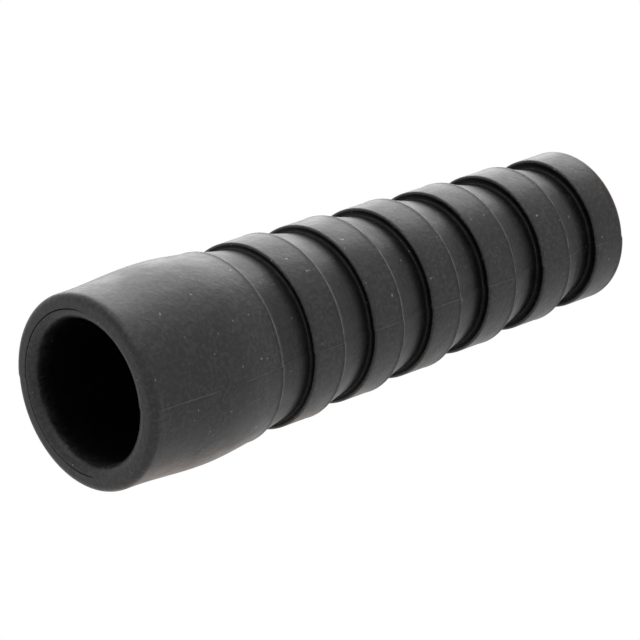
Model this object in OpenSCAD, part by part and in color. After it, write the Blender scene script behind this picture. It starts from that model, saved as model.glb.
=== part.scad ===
// Strain relief boot: one moulded piece that slides over a cable and grips the
// ferrule of a connector. A barrel-shaped sleeve at the mouth, then a row of rings
// with waisted necks between them, so that the tail bends with the cable.
// The boot stands on its mouth: z = 0 is the mouth face, the tail points up.

/* [Sleeve] */
// Length of the smooth sleeve, from the mouth face to its rear line
sleeve_len = 9.4; // [7.5:0.1:14]
// Outer diameter of the sleeve at the mouth
mouth_d = 10.8; // [10.2:0.1:13]
// How far the sleeve's side swells beyond a straight line, halfway along
belly = 0.26; // [0.05:0.01:0.6]
// Outer diameter at the rear line of the sleeve
shoulder_d = 10.7; // [10.4:0.1:12]
// Radius of the rounded corner round the mouth face
mouth_round = 0.45; // [0.1:0.05:0.6]

/* [Connector bore] */
// Diameter of the bore that grips the ferrule
bore_d = 8.0; // [6.8:0.1:8.4]
// Depth of the bore, from the mouth face to where it starts to close
bore_depth = 10.6; // [7:0.1:12]
// Diameter of the lead-in at the mouth face
lead_d = 9.1; // [8.6:0.1:9.6]
// Depth of the lead-in
lead_depth = 0.32; // [0.1:0.02:0.6]

/* [Cable hole] */
// Diameter of the hole that the cable runs through
cable_d = 6.2; // [4:0.1:6.4]
// Length of the funnel between the bore and the cable hole
funnel_len = 1.2; // [0.4:0.1:3]

/* [Rings] */
// How many rings there are
ring_count = 6; // [2:1:10]
// Length of each ring's band along the boot
ring_w = 2.25; // [1.6:0.05:3.5]
// Length of each neck between two rings
neck_w = 2.52; // [1.8:0.02:4]
// Outer diameter of the first ring, next to the sleeve
first_ring_d = 10.7; // [10.4:0.1:12]
// Outer diameter of the last ring, at the tail
last_ring_d = 9.1; // [8.8:0.1:10.4]
// Height of the step from a neck's root up to the first ring
first_step = 0.56; // [0.3:0.02:0.6]
// Height of the step from a neck's root up to the last ring
last_step = 0.64; // [0.3:0.02:0.7]
// Radius of the rounded front corner of each ring
ring_round = 0.2; // [0.05:0.01:0.4]
// Radius of the fillet where a neck meets the face of the next ring
root_fillet = 0.26; // [0.05:0.01:0.28]
// Height of the fine moulding line at the rear edge of the sleeve and of each ring
line_step = 0.05; // [0.01:0.01:0.15]

/* [Hidden] */

$fn = 96;
arc_steps = 5;       // points along a rounded corner or a fillet
curve_steps = 14;    // points along the sleeve's side
neck_steps = 8;      // points along a neck
neck_hollow = 1.25;  // 1 gives a straight cone, more gives a more hollow neck
cut = 1;             // how far a cutting shape runs past the end that it opens

pitch = neck_w + ring_w;
length = sleeve_len + ring_count * pitch;

// Share of the way from the first ring to the last one
function share(i) = ring_count > 1 ? i / (ring_count - 1) : 0;
function between(a, b, t) = a + (b - a) * t;

function ring_r(i) = between(first_ring_d, last_ring_d, share(i)) / 2;
function root_r(i) = ring_r(i) - between(first_step, last_step, share(i));
function neck_start_r(i) = (i == 0 ? shoulder_d / 2 : ring_r(i - 1)) - line_step;
function neck_z(i) = sleeve_len + i * pitch;
function ring_z(i) = neck_z(i) + neck_w;

// Points [r, z] on an arc round a centre, from one angle to another
function arc(centre, radius, from, to) =
    [for (k = [0 : arc_steps])
        let (a = between(from, to, k / arc_steps))
        [centre[0] + radius * cos(a), centre[1] + radius * sin(a)]];

// The sleeve's side: a straight line from mouth to shoulder plus the belly
function sleeve_r(t) = between(mouth_d, shoulder_d, t) / 2 + belly * 4 * t * (1 - t);

sleeve_side = [for (k = [0 : curve_steps])
    let (t = k / curve_steps)
    [sleeve_r(t), between(mouth_round, sleeve_len, t)]];

// A neck narrows from the line behind it down to the root before the next ring
function neck(i) =
    [for (k = [0 : neck_steps])
        let (t = k / neck_steps, fall = 1 - pow(1 - t, neck_hollow))
        [between(neck_start_r(i), root_r(i), fall),
         between(neck_z(i), ring_z(i) - root_fillet, t)]];

function root_corner(i) =
    arc([root_r(i) + root_fillet, ring_z(i) - root_fillet], root_fillet, 180, 90);

function ring_corner(i) =
    arc([ring_r(i) - ring_round, ring_z(i) + ring_round], ring_round, -90, 0);

function one_ring(i) =
    concat(neck(i), root_corner(i), ring_corner(i), [[ring_r(i), ring_z(i) + ring_w]]);

outline = concat(
    [[0, 0]],
    arc([mouth_d / 2 - mouth_round, mouth_round], mouth_round, -90, 0),
    [for (k = [1 : curve_steps]) sleeve_side[k]],
    [for (i = [0 : ring_count - 1]) each one_ring(i)],
    [[0, length]]);

// The solid body of revolution, before it is hollowed
module body() {
    rotate_extrude() polygon(outline);
}

// Lead-in, ferrule bore, funnel and cable hole, all on one axis
module passage() {
    translate([0, 0, -cut])
        cylinder(d = bore_d, h = cut + bore_depth);
    rotate_extrude()
        polygon([[0, -cut], [lead_d / 2, -cut], [lead_d / 2, 0], [bore_d / 2, lead_depth],
                 [0, lead_depth]]);
    translate([0, 0, bore_depth])
        cylinder(d1 = bore_d, d2 = cable_d, h = funnel_len);
    translate([0, 0, bore_depth])
        cylinder(d = cable_d, h = length - bore_depth + cut);
}

module boot() {
    color([0.17, 0.165, 0.16])
        difference() {
            body();
            passage();
        }
}

boot();
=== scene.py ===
import math

import bmesh
import bpy
from mathutils import Matrix, Vector, noise


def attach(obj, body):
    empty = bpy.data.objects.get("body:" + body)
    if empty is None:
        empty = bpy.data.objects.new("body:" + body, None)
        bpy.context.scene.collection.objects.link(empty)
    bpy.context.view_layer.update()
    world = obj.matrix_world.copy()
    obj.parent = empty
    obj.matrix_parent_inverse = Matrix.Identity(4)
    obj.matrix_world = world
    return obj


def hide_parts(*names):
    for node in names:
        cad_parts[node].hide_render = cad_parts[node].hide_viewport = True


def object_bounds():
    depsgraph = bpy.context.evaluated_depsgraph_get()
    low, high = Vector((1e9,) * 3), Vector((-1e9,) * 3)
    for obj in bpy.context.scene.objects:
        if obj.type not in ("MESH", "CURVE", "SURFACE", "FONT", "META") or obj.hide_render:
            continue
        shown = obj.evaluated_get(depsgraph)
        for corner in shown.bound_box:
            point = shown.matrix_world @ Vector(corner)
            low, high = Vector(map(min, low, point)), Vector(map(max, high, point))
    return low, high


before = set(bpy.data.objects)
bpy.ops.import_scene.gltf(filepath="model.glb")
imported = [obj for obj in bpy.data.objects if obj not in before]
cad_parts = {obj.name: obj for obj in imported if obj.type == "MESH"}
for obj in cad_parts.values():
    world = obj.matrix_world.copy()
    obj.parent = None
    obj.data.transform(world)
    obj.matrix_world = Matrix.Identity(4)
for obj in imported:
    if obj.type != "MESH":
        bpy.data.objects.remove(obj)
CAD_LOW, CAD_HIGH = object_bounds()

# ---------------------------------------------------------------------------
# The moulding's sizes, in millimetres. Its length comes from the frame. The rings, the
# belly, the roundings and the lead-in are finer readings of the part than the drawing's.
# ---------------------------------------------------------------------------
MM = 0.001
LENGTH = (CAD_HIGH.z - CAD_LOW.z) / MM

SLEEVE_LEN = 9.4
MOUTH_R = 5.4
SHOULDER_R = 5.35      # the sleeve's radius at its rear line
BELLY = 0.26           # how far the sleeve's side swells at its fullest
BELLY_LEAN = 1.4       # more than 1 moves the fullest part towards the rear
MOUTH_ROUND = 0.45

BORE_R = 4.0
BORE_DEPTH = 10.6
LEAD_R = 4.577         # the rounded lead-in's radius at the mouth face
LEAD_DEPTH = 0.6
CABLE_R = 3.1
FUNNEL_LEN = 1.2       # between the bore and the cable hole
TAIL_BREAK = 0.08      # the broken edge of the cable hole at the tail
TAIL_FACE_IN = 0.06    # how far inside the rim the tail's end face starts

RING_COUNT = 6
RING_W = 2.25
NECK_W = (LENGTH - SLEEVE_LEN) / RING_COUNT - RING_W
FIRST_RING_R = 5.25
LAST_RING_R = 4.42
FIRST_STEP = 0.36      # from a neck's root up to the first ring
LAST_STEP = 0.52       # and up to the last one
RING_ROUND = 0.13
ROOT_FILLET = 0.2
FACE_FROM_ROOT = 0.02  # a ring's flat front face starts this far outside its fillet
FACE_TO_ROUND = 0.03   # and ends this far inside its rounded corner
BAND_SHARES = (0.3, 0.5, 0.7, 0.85)  # where a ring's band has its points
LINE_STEP = 0.05       # the drop behind a rear edge
NECK_HOLLOW = 1.25     # 1 gives a straight cone, more gives a more hollow neck
NECK_SHADE = 0.5      # painted shade on a neck over its first part
NECK_DEEP_FROM = 0.62  # share of a neck's length where its painted shade starts to deepen

# Fine moulding marks
LINE_RISE = 0.022      # height of the thin flash line at a rear edge
LINE_WIDTH = 0.05
TAIL_LINE_RISE = 0.01
ROOT_LINE_RISE = 0.02  # flash line in the root before each ring
ROOT_LINE_AT = 3       # which point of the root's fillet carries it
ROOT_LINE_PALE = 0.45
# painted shade on the root's flash line, less than around it
ROOT_LINE_SHADE = 0.3
CREASE_WIDTH = 0.07    # the core's shut-off line round the mouth
CREASE_DEPTH = 0.07
CREASE_MARK = 1.6      # only the crease's points start with a painted shade this high
CREASE_SHADE = 1.2    # the crease's painted shade where it is fully open
CREASE_FADE = 1.6      # length along Y over which it would close
CREASE_OPEN = 0.6      # how open it is at y = 0
SKIN_R = BORE_R + 0.2  # what lies nearer to the axis is inside and stays true
HALF_SHIFT = 0.03      # how far each mould half sits off the parting plane's middle
HALF_BLEND = 0.03      # how softly one half passes into the other
SEAM_RISE = 0.012      # height of the flash along the parting line
SEAM_WIDTH = 0.09
SEAM_FROM = 0.3        # no flash below this height on the mouth's rounded corner
WAVE_RISE = 0.012      # height and length of the moulding's slow waviness
WAVE_LEN = 2.5
WAVE_FADE = 1.5        # it fades in over this height above the mouth
WAVE_TAIL_GAP = 0.1    # and stops this far before the tail's end

SPIN_STEPS = 320
SIDE_STEPS = 30
NECK_STEPS = 12
ARC_STEPS = 6
FILLET_STEPS = 8
LEAD_STEPS = 12


# ---------------------------------------------------------------------------
# The outline: points (r, z, flash, shade). flash is 1 on a thin moulding line and the fourth
# value is painted shade, 1 where the rubber lies deep in a groove, the crease or the bore.
# ---------------------------------------------------------------------------
def marked(points, flash=0.0, recess_shade=0.0):
    return [(r, z, flash, recess_shade) for r, z in points]


def between(a, b, t):
    return a + (b - a) * t


def ring_r(i):
    return between(FIRST_RING_R, LAST_RING_R, i / (RING_COUNT - 1))


def root_r(i):
    return ring_r(i) - between(FIRST_STEP, LAST_STEP, i / (RING_COUNT - 1))


def neck_z(i):
    return SLEEVE_LEN + i * (NECK_W + RING_W)


def ring_z(i):
    return neck_z(i) + NECK_W


def arc(centre_r, centre_z, radius, start, end, steps=ARC_STEPS):
    """Points on an arc in the outline's plane, angles in degrees from +r towards +z."""
    points = []
    for k in range(steps + 1):
        a = math.radians(between(start, end, k / steps))
        points.append((centre_r + radius * math.cos(a), centre_z + radius * math.sin(a)))
    return points


def flash_line(r, z):
    """A thin raised line at a rear edge, then the drop to the neck."""
    return [
        (r, z - LINE_WIDTH * 1.4, 0.0, 0.0),
        (r + LINE_RISE * 0.5, z - LINE_WIDTH, 1.0, 0.0),
        (r + LINE_RISE, z - LINE_WIDTH * 0.5, 1.0, 0.0),
        (r + LINE_RISE * 0.6, z, 1.0, 0.0),
        (r - LINE_STEP, z + LINE_WIDTH * 0.6, 0.0, 0.0),
    ]


def tail_line(r, z):
    """The low worn line round the tail's rim."""
    return [
        (r, z - LINE_WIDTH * 2, 0.0, 0.0),
        (r + TAIL_LINE_RISE, z - LINE_WIDTH, 1.0, 0.0),
        (r, z, 1.0, 0.0),
    ]


def sleeve_points():
    points = []
    for k in range(1, SIDE_STEPS):
        t = k / SIDE_STEPS
        swell = math.sin(math.pi * t ** BELLY_LEAN) ** BELLY_LEAN
        r = between(MOUTH_R, SHOULDER_R, t) + BELLY * swell
        points.append((r, between(MOUTH_ROUND, SLEEVE_LEN, t)))
    return marked(points)


def neck_points(i):
    """A neck narrows from the line behind it down to the root before the next ring."""
    start_r = (SHOULDER_R if i == 0 else ring_r(i - 1)) - LINE_STEP
    points = []
    for k in range(1, NECK_STEPS + 1):
        t = k / NECK_STEPS
        fall = 1 - (1 - t) ** NECK_HOLLOW
        deeper = max(0.0, (t - NECK_DEEP_FROM) / (1 - NECK_DEEP_FROM))
        r = between(start_r, root_r(i), fall)
        z = between(neck_z(i) + LINE_WIDTH, ring_z(i) - ROOT_FILLET, t)
        # painted shade deepens towards the root
        points.append((r, z, 0.0, between(NECK_SHADE, 1.0, deeper)))
    return points


def root_points(i):
    """The fillet at a neck's root, with a thin flash line partway round."""
    centre_r, centre_z = root_r(i) + ROOT_FILLET, ring_z(i) - ROOT_FILLET
    fillet = arc(centre_r, centre_z, ROOT_FILLET, 175, 95, FILLET_STEPS)
    # the root's fillet carries full painted shade
    points = marked(fillet, recess_shade=1.0)
    r, z = fillet[ROOT_LINE_AT]
    line = (r + ROOT_LINE_RISE, z - ROOT_LINE_RISE, ROOT_LINE_PALE, ROOT_LINE_SHADE)
    points[ROOT_LINE_AT] = line
    return points


def ring_points(i):
    """A ring's flat front face, its rounded corner and its band."""
    r, z = ring_r(i), ring_z(i)
    face_in = root_r(i) + ROOT_FILLET + FACE_FROM_ROOT
    face_out = r - RING_ROUND - FACE_TO_ROUND
    # painted shade on the ring's flat front face
    points = [(face_in, z, 0.0, 1.0), (face_out, z, 0.0, 0.9)]
    points += marked(arc(r - RING_ROUND, z + RING_ROUND, RING_ROUND, -80, 0))
    points += marked([(r, z + RING_W * share) for share in BAND_SHARES])
    return points


def outside():
    """From the mouth face up the sleeve and over the rings to the tail's rim."""
    mouth = arc(MOUTH_R - MOUTH_ROUND, MOUTH_ROUND, MOUTH_ROUND, -90, 0, FILLET_STEPS)
    points = marked(mouth)
    points += sleeve_points() + flash_line(SHOULDER_R, SLEEVE_LEN)
    for i in range(RING_COUNT):
        points += neck_points(i) + root_points(i) + ring_points(i)
        rear_edge = flash_line if i < RING_COUNT - 1 else tail_line
        points += rear_edge(ring_r(i), ring_z(i) + RING_W)
    return points


def inside():
    """From the tail's end face back down to the mouth face."""
    deep = [
        (CABLE_R + TAIL_BREAK, LENGTH),
        (CABLE_R, LENGTH - TAIL_BREAK),
        (CABLE_R, BORE_DEPTH + FUNNEL_LEN),
        (BORE_R, BORE_DEPTH),
        (BORE_R, 3.0),
        (BORE_R, 1.4),
    ]
    points = marked([(ring_r(RING_COUNT - 1) - TAIL_FACE_IN, LENGTH)])
    # painted shade: full in the bore and the cable hole, half where the bore meets the
    # lead-in
    points += marked(deep, recess_shade=1.0)
    points.append((BORE_R, LEAD_DEPTH * 1.3, 0.0, 0.5))
    # the lead-in is a quarter of an ellipse from the bore out to the crease
    for k in range(LEAD_STEPS + 1):
        a = math.pi / 2 * k / LEAD_STEPS
        r = between(BORE_R, LEAD_R - CREASE_WIDTH / 2, 1 - math.cos(a))
        points.append((r, LEAD_DEPTH * (1 - math.sin(a)), 0.0, 0.0))
    points.append((LEAD_R, CREASE_DEPTH, 0.0, CREASE_MARK))
    points += marked([(LEAD_R + CREASE_WIDTH / 2, 0.0), (LEAD_R + CREASE_WIDTH, 0.0)])
    return points


# ---------------------------------------------------------------------------
# The boot
# ---------------------------------------------------------------------------
def spin_outline(points):
    bm = bmesh.new()
    flash = bm.verts.layers.float.new("flash")
    recess_shade = bm.verts.layers.float.new("recess_shade")
    verts = []
    for r, z, flash_here, shade_here in points:
        v = bm.verts.new((r * MM, 0, z * MM))
        v[flash] = flash_here
        v[recess_shade] = shade_here
        verts.append(v)
    edges = [bm.edges.new(pair) for pair in zip(verts, verts[1:] + verts[:1])]
    bmesh.ops.spin(bm, geom=verts + edges, cent=(0, 0, 0), axis=(0, 0, 1), dvec=(0, 0, 0),
                   angle=math.tau, steps=SPIN_STEPS, use_merge=True)
    bmesh.ops.remove_doubles(bm, verts=bm.verts, dist=1e-7)
    bmesh.ops.recalc_face_normals(bm, faces=bm.faces)
    return bm


def fade_crease(bm):
    """The core's shut-off line is open on the +Y side of the mouth and closes towards -Y."""
    recess_shade = bm.verts.layers.float["recess_shade"]
    for v in bm.verts:
        if v[recess_shade] > CREASE_SHADE:
            open_here = min(1.0, max(0.0, v.co.y / (CREASE_FADE * MM) + CREASE_OPEN))
            v.co.z = CREASE_DEPTH * open_here * MM
            # its painted shade fades as it closes
            v[recess_shade] = CREASE_SHADE * open_here


def offset_mould_halves(bm):
    """The two halves of the mould meet on the plane x = 0 and sit slightly off each other."""
    for v in bm.verts:
        r = math.hypot(v.co.x, v.co.y)
        if r < SKIN_R * MM:
            continue
        side = math.tanh(v.co.x / (HALF_BLEND * MM))
        v.co.y -= side * HALF_SHIFT * MM
        seam = math.exp(-(v.co.x / (SEAM_WIDTH * MM * 0.5)) ** 2)
        if v.co.z > SEAM_FROM * MM:
            out = Vector((v.co.x, v.co.y, 0)).normalized()
            v.co += out * seam * SEAM_RISE * MM


def uneven(bm):
    """Moulded rubber is never quite true: a very low, slow waviness."""
    for v in bm.verts:
        r = math.hypot(v.co.x, v.co.y)
        if r < SKIN_R * MM or v.co.z > (LENGTH - WAVE_TAIL_GAP) * MM:
            continue
        out = Vector((v.co.x, v.co.y, 0)).normalized()
        fade = min(1.0, max(0.0, v.co.z / (WAVE_FADE * MM)))
        v.co += out * noise.noise(v.co / (WAVE_LEN * MM)) * fade * WAVE_RISE * MM


def object_from(bm, name):
    mesh = bpy.data.meshes.new(name)
    bm.to_mesh(mesh)
    bm.free()
    made = bpy.data.objects.new(name, mesh)
    bpy.context.scene.collection.objects.link(made)
    return made


def make_boot():
    bm = spin_outline(outside() + inside())
    fade_crease(bm)
    offset_mould_halves(bm)
    uneven(bm)
    boot = object_from(bm, "boot_moulding")
    for face in boot.data.polygons:
        face.use_smooth = True
    boot.data.set_sharp_from_angle(angle=math.radians(50))
    return boot


# ---------------------------------------------------------------------------
# Material
# ---------------------------------------------------------------------------
RUBBER_CLEAN = (0.0065, 0.0061, 0.0058, 1)
RUBBER_BLOOM = (0.038, 0.037, 0.037, 1)
# painted shade: the colour of the deep grooves, the crease and the bore
RUBBER_PAINTED_SHADE = (0.002, 0.0018, 0.0016, 1)
DUST_SPECK = (0.22, 0.21, 0.2, 1)
WORN_FLASH = (0.17, 0.16, 0.147, 1)
WORN_TAIL = (0.16, 0.09, 0.06, 1)
PARTING_LINE = (0.11, 0.104, 0.097, 1)

# In millimetres
SEAM_CORE = 0.014      # the pale parting line is full this far from the plane x = 0
SEAM_EDGE = 0.04       # and gone this far from it
SEAM_START = 0.4       # it begins above the rounded mouth corner
SEAM_FULL = 0.6
GRAIN_DEPTH = 0.011
COARSE_GRAIN = 2.2     # how much stronger the coarse grain is than the fine one


class Graph:
    """Short ways to add and join shader nodes."""

    def __init__(self, tree):
        self.tree = tree

    def node(self, kind, **settings):
        made = self.tree.nodes.new(kind)
        for name, value in settings.items():
            setattr(made, name, value)
        return made

    def link(self, start, end):
        self.tree.links.new(start, end)

    def put(self, socket, value):
        if isinstance(value, bpy.types.NodeSocket):
            self.link(value, socket)
        else:
            socket.default_value = value

    def math(self, operation, a, b=0.0, c=0.0, clamp=False):
        made = self.node("ShaderNodeMath", operation=operation, use_clamp=clamp)
        for socket, value in zip(made.inputs, (a, b, c)):
            self.put(socket, value)
        return made.outputs[0]

    def ramp(self, value, low, high, to_low=0.0, to_high=1.0):
        made = self.node("ShaderNodeMapRange", interpolation_type="SMOOTHSTEP")
        for name, item in (("Value", value), ("From Min", low), ("From Max", high),
                           ("To Min", to_low), ("To Max", to_high)):
            self.put(made.inputs[name], item)
        return made.outputs[0]

    def noise(self, coords, scale, detail=2.0, rough=0.5):
        made = self.node("ShaderNodeTexNoise")
        self.link(coords, made.inputs["Vector"])
        made.inputs["Scale"].default_value = scale
        made.inputs["Detail"].default_value = detail
        made.inputs["Roughness"].default_value = rough
        return made.outputs["Fac"]

    def mix(self, share, a, b):
        made = self.node("ShaderNodeMix", data_type="RGBA")
        self.put(made.inputs["Factor"], share)
        self.put(made.inputs["A"], a)
        self.put(made.inputs["B"], b)
        return made.outputs["Result"]


def moulded_colour(g, coords, clouds):
    """Dark rubber with a cloudy, fine-grained bloom and a few pale specks of dust."""
    grain = g.noise(coords, scale=4200, rough=0.6)
    cloudy = g.ramp(clouds, 0.3, 0.7, to_low=0.35)
    bloom = g.math("MULTIPLY", cloudy, g.ramp(grain, 0.38, 0.68))
    colour = g.mix(bloom, RUBBER_CLEAN, RUBBER_BLOOM)
    specks = g.noise(coords, scale=3400, detail=1, rough=0.4)
    return g.mix(g.ramp(specks, 0.755, 0.8), colour, DUST_SPECK)


def worn_lines(g, coords, colour, flash, along):
    """Thin worn flash at rear edges and roots, of a warmer tone round the tail's rim."""
    patches = g.noise(coords, scale=1500, detail=3, rough=0.6)
    worn = g.ramp(patches, 0.36, 0.6, to_low=0.4)
    colour = g.mix(g.math("MULTIPLY", flash, worn), colour, WORN_FLASH)
    at_tail = g.ramp(along, (LENGTH - LINE_WIDTH * 4) * MM, (LENGTH - LINE_WIDTH * 2) * MM)
    return g.mix(g.math("MULTIPLY", at_tail, flash), colour, WORN_TAIL)


def parting_line(g, coords, colour, recess_shade, across, along):
    """The pale line where the mould's halves meet: narrow, broken, only on the outside."""
    narrow = g.ramp(g.math("ABSOLUTE", across), SEAM_CORE * MM, SEAM_EDGE * MM, 1.0, 0.0)
    broken = g.ramp(g.noise(coords, scale=420), 0.4, 0.65, to_low=0.12, to_high=0.8)
    above_mouth = g.ramp(along, SEAM_START * MM, SEAM_FULL * MM)
    not_deep = g.ramp(recess_shade, 0.3, 0.9, 1.0, 0.0)
    seam = g.math("MULTIPLY", narrow, broken)
    seam = g.math("MULTIPLY", seam, above_mouth)
    seam = g.math("MULTIPLY", seam, not_deep)
    return g.mix(seam, colour, PARTING_LINE)


def grain_normal(g, coords):
    """The surface's grain, a coarse and a fine one together."""
    coarse = g.noise(coords, scale=1500, detail=3, rough=0.55)
    fine = g.noise(coords, scale=5200)
    bump = g.node("ShaderNodeBump")
    bump.inputs["Strength"].default_value = 1.0
    bump.inputs["Distance"].default_value = GRAIN_DEPTH * MM
    g.link(g.math("MULTIPLY_ADD", coarse, COARSE_GRAIN, fine), bump.inputs["Height"])
    return bump.outputs["Normal"]


def rubber_material():
    mat = bpy.data.materials.new("black_rubber")
    mat.use_nodes = True
    g = Graph(mat.node_tree)
    bsdf = mat.node_tree.nodes["Principled BSDF"]
    coords = g.node("ShaderNodeTexCoord").outputs["Object"]
    place = g.node("ShaderNodeSeparateXYZ")
    g.link(coords, place.inputs[0])
    across, along = place.outputs["X"], place.outputs["Z"]
    flash = g.node("ShaderNodeAttribute", attribute_name="flash").outputs["Fac"]
    recess_shade = g.node("ShaderNodeAttribute", attribute_name="recess_shade").outputs["Fac"]
    clouds = g.noise(coords, scale=650, detail=4, rough=0.6)

    colour = moulded_colour(g, coords, clouds)
    colour = worn_lines(g, coords, colour, flash, along)
    colour = parting_line(g, coords, colour, recess_shade, across, along)
    # painted shade: deep in the grooves, the crease and the bore the colour darkens and loses
    # its bloom and dust
    deep = g.math("MULTIPLY", recess_shade, 0.85, clamp=True)
    colour = g.mix(deep, colour, RUBBER_PAINTED_SHADE)

    g.link(colour, bsdf.inputs["Base Color"])
    # painted shade also weakens the reflection in the recesses
    g.link(g.ramp(recess_shade, 0.0, 1.0, 0.38, 0.08), bsdf.inputs["Specular IOR Level"])
    g.link(g.ramp(clouds, 0.3, 0.7, 0.36, 0.46), bsdf.inputs["Roughness"])
    g.link(grain_normal(g, coords), bsdf.inputs["Normal"])
    return mat


# ---------------------------------------------------------------------------
# Camera, floor and light
# ---------------------------------------------------------------------------
CAMERA_AT = Vector((-60.58, -141.16, -119.81)) * MM
CAMERA_FORWARD = Vector((0.29626, 0.68466, 0.66594))
CAMERA_UP = Vector((-0.95345, 0.17091, 0.24845))
LENS = 209.83

LAMP_DISTANCE = 0.3    # metres from the boot's middle
TENT_LIGHT = 0.4       # how strongly the white surroundings light the boot
FLOOR_R = 0.3          # in metres
FLOOR_GAP = 0.02       # millimetres between the mouth face and the floor


def make_camera():
    data = bpy.data.cameras.new("camera")
    data.lens = LENS
    data.sensor_width = 36
    data.clip_start = 0.001
    data.clip_end = 10
    camera = bpy.data.objects.new("camera", data)
    bpy.context.scene.collection.objects.link(camera)
    forward = CAMERA_FORWARD.normalized()
    right = forward.cross(CAMERA_UP).normalized()
    up = right.cross(forward)
    turn = Matrix((right, up, -forward)).transposed().to_4x4()
    camera.matrix_world = Matrix.Translation(CAMERA_AT) @ turn
    bpy.context.scene.camera = camera


def area_lamp(name, direction, size, power, colour=(1, 1, 1)):
    """A round soft lamp, a direction away from the boot's middle and turned towards it."""
    data = bpy.data.lights.new(name, "AREA")
    data.shape = "DISK"
    data.size = size
    data.energy = power
    data.color = colour
    lamp = bpy.data.objects.new(name, data)
    bpy.context.scene.collection.objects.link(lamp)
    middle = (CAD_LOW + CAD_HIGH) / 2
    away = Vector(direction).normalized()
    lamp.location = middle + away * LAMP_DISTANCE
    lamp.visible_camera = False
    lamp.rotation_mode = "QUATERNION"
    lamp.rotation_quaternion = away.to_track_quat("Z", "Y")


def make_world():
    """A white tent, seen and reflected in full, that lights the boot less strongly."""
    world = bpy.data.worlds.new("white_tent")
    bpy.context.scene.world = world
    world.use_nodes = True
    g = Graph(world.node_tree)
    back = world.node_tree.nodes["Background"]
    path = g.node("ShaderNodeLightPath")
    seen = g.math("MAXIMUM", path.outputs["Is Camera Ray"], path.outputs["Is Glossy Ray"])
    seen = g.math("MAXIMUM", seen, path.outputs["Is Transmission Ray"])
    strength = g.math("MULTIPLY_ADD", seen, 1.0 - TENT_LIGHT, TENT_LIGHT)
    back.inputs["Color"].default_value = (1, 1, 1, 1)
    g.link(strength, back.inputs["Strength"])


def floor_material():
    """Pale and matt to the camera from above, clear to everything else."""
    mat = bpy.data.materials.new("pale_floor")
    mat.use_nodes = True
    g = Graph(mat.node_tree)
    bsdf = mat.node_tree.nodes["Principled BSDF"]
    bsdf.inputs["Base Color"].default_value = (0.86, 0.86, 0.86, 1)
    bsdf.inputs["Roughness"].default_value = 0.9
    bsdf.inputs["Specular IOR Level"].default_value = 0.1
    clear = g.node("ShaderNodeBsdfTransparent")
    mixer = g.node("ShaderNodeMixShader")
    front = g.math("SUBTRACT", 1.0, g.node("ShaderNodeNewGeometry").outputs["Backfacing"])
    seen = g.math("MULTIPLY", front, g.node("ShaderNodeLightPath").outputs["Is Camera Ray"])
    g.link(seen, mixer.inputs[0])
    g.link(clear.outputs[0], mixer.inputs[1])
    g.link(bsdf.outputs[0], mixer.inputs[2])
    g.link(mixer.outputs[0], mat.node_tree.nodes["Material Output"].inputs["Surface"])
    return mat


def make_floor():
    """A pale floor just under the mouth, so that the boot stands on something."""
    bm = bmesh.new()
    bmesh.ops.create_circle(bm, cap_ends=True, radius=FLOOR_R, segments=96)
    bmesh.ops.recalc_face_normals(bm, faces=bm.faces)
    for v in bm.verts:
        v.co.z = CAD_LOW.z - FLOOR_GAP * MM
    floor = object_from(bm, "floor")
    if floor.data.polygons[0].normal.z < 0:
        floor.data.flip_normals()
    floor.data.materials.append(floor_material())


# ---------------------------------------------------------------------------
# Everything together
# ---------------------------------------------------------------------------
boot = make_boot()
boot.data.materials.append(rubber_material())
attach(boot, "root")
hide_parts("boot")

make_camera()
make_world()
make_floor()
area_lamp("overhead", (-0.55, 0.57, 0.61), size=0.38, power=0.85)
area_lamp("front_fill", (-0.98, -0.1, 0.0), size=0.4, power=0.42)
area_lamp("warm_bounce", (0.85, 0.45, 0.35), size=0.2, power=0.05, colour=(1.0, 0.6, 0.35))

bpy.context.scene.view_settings.view_transform = "Standard"
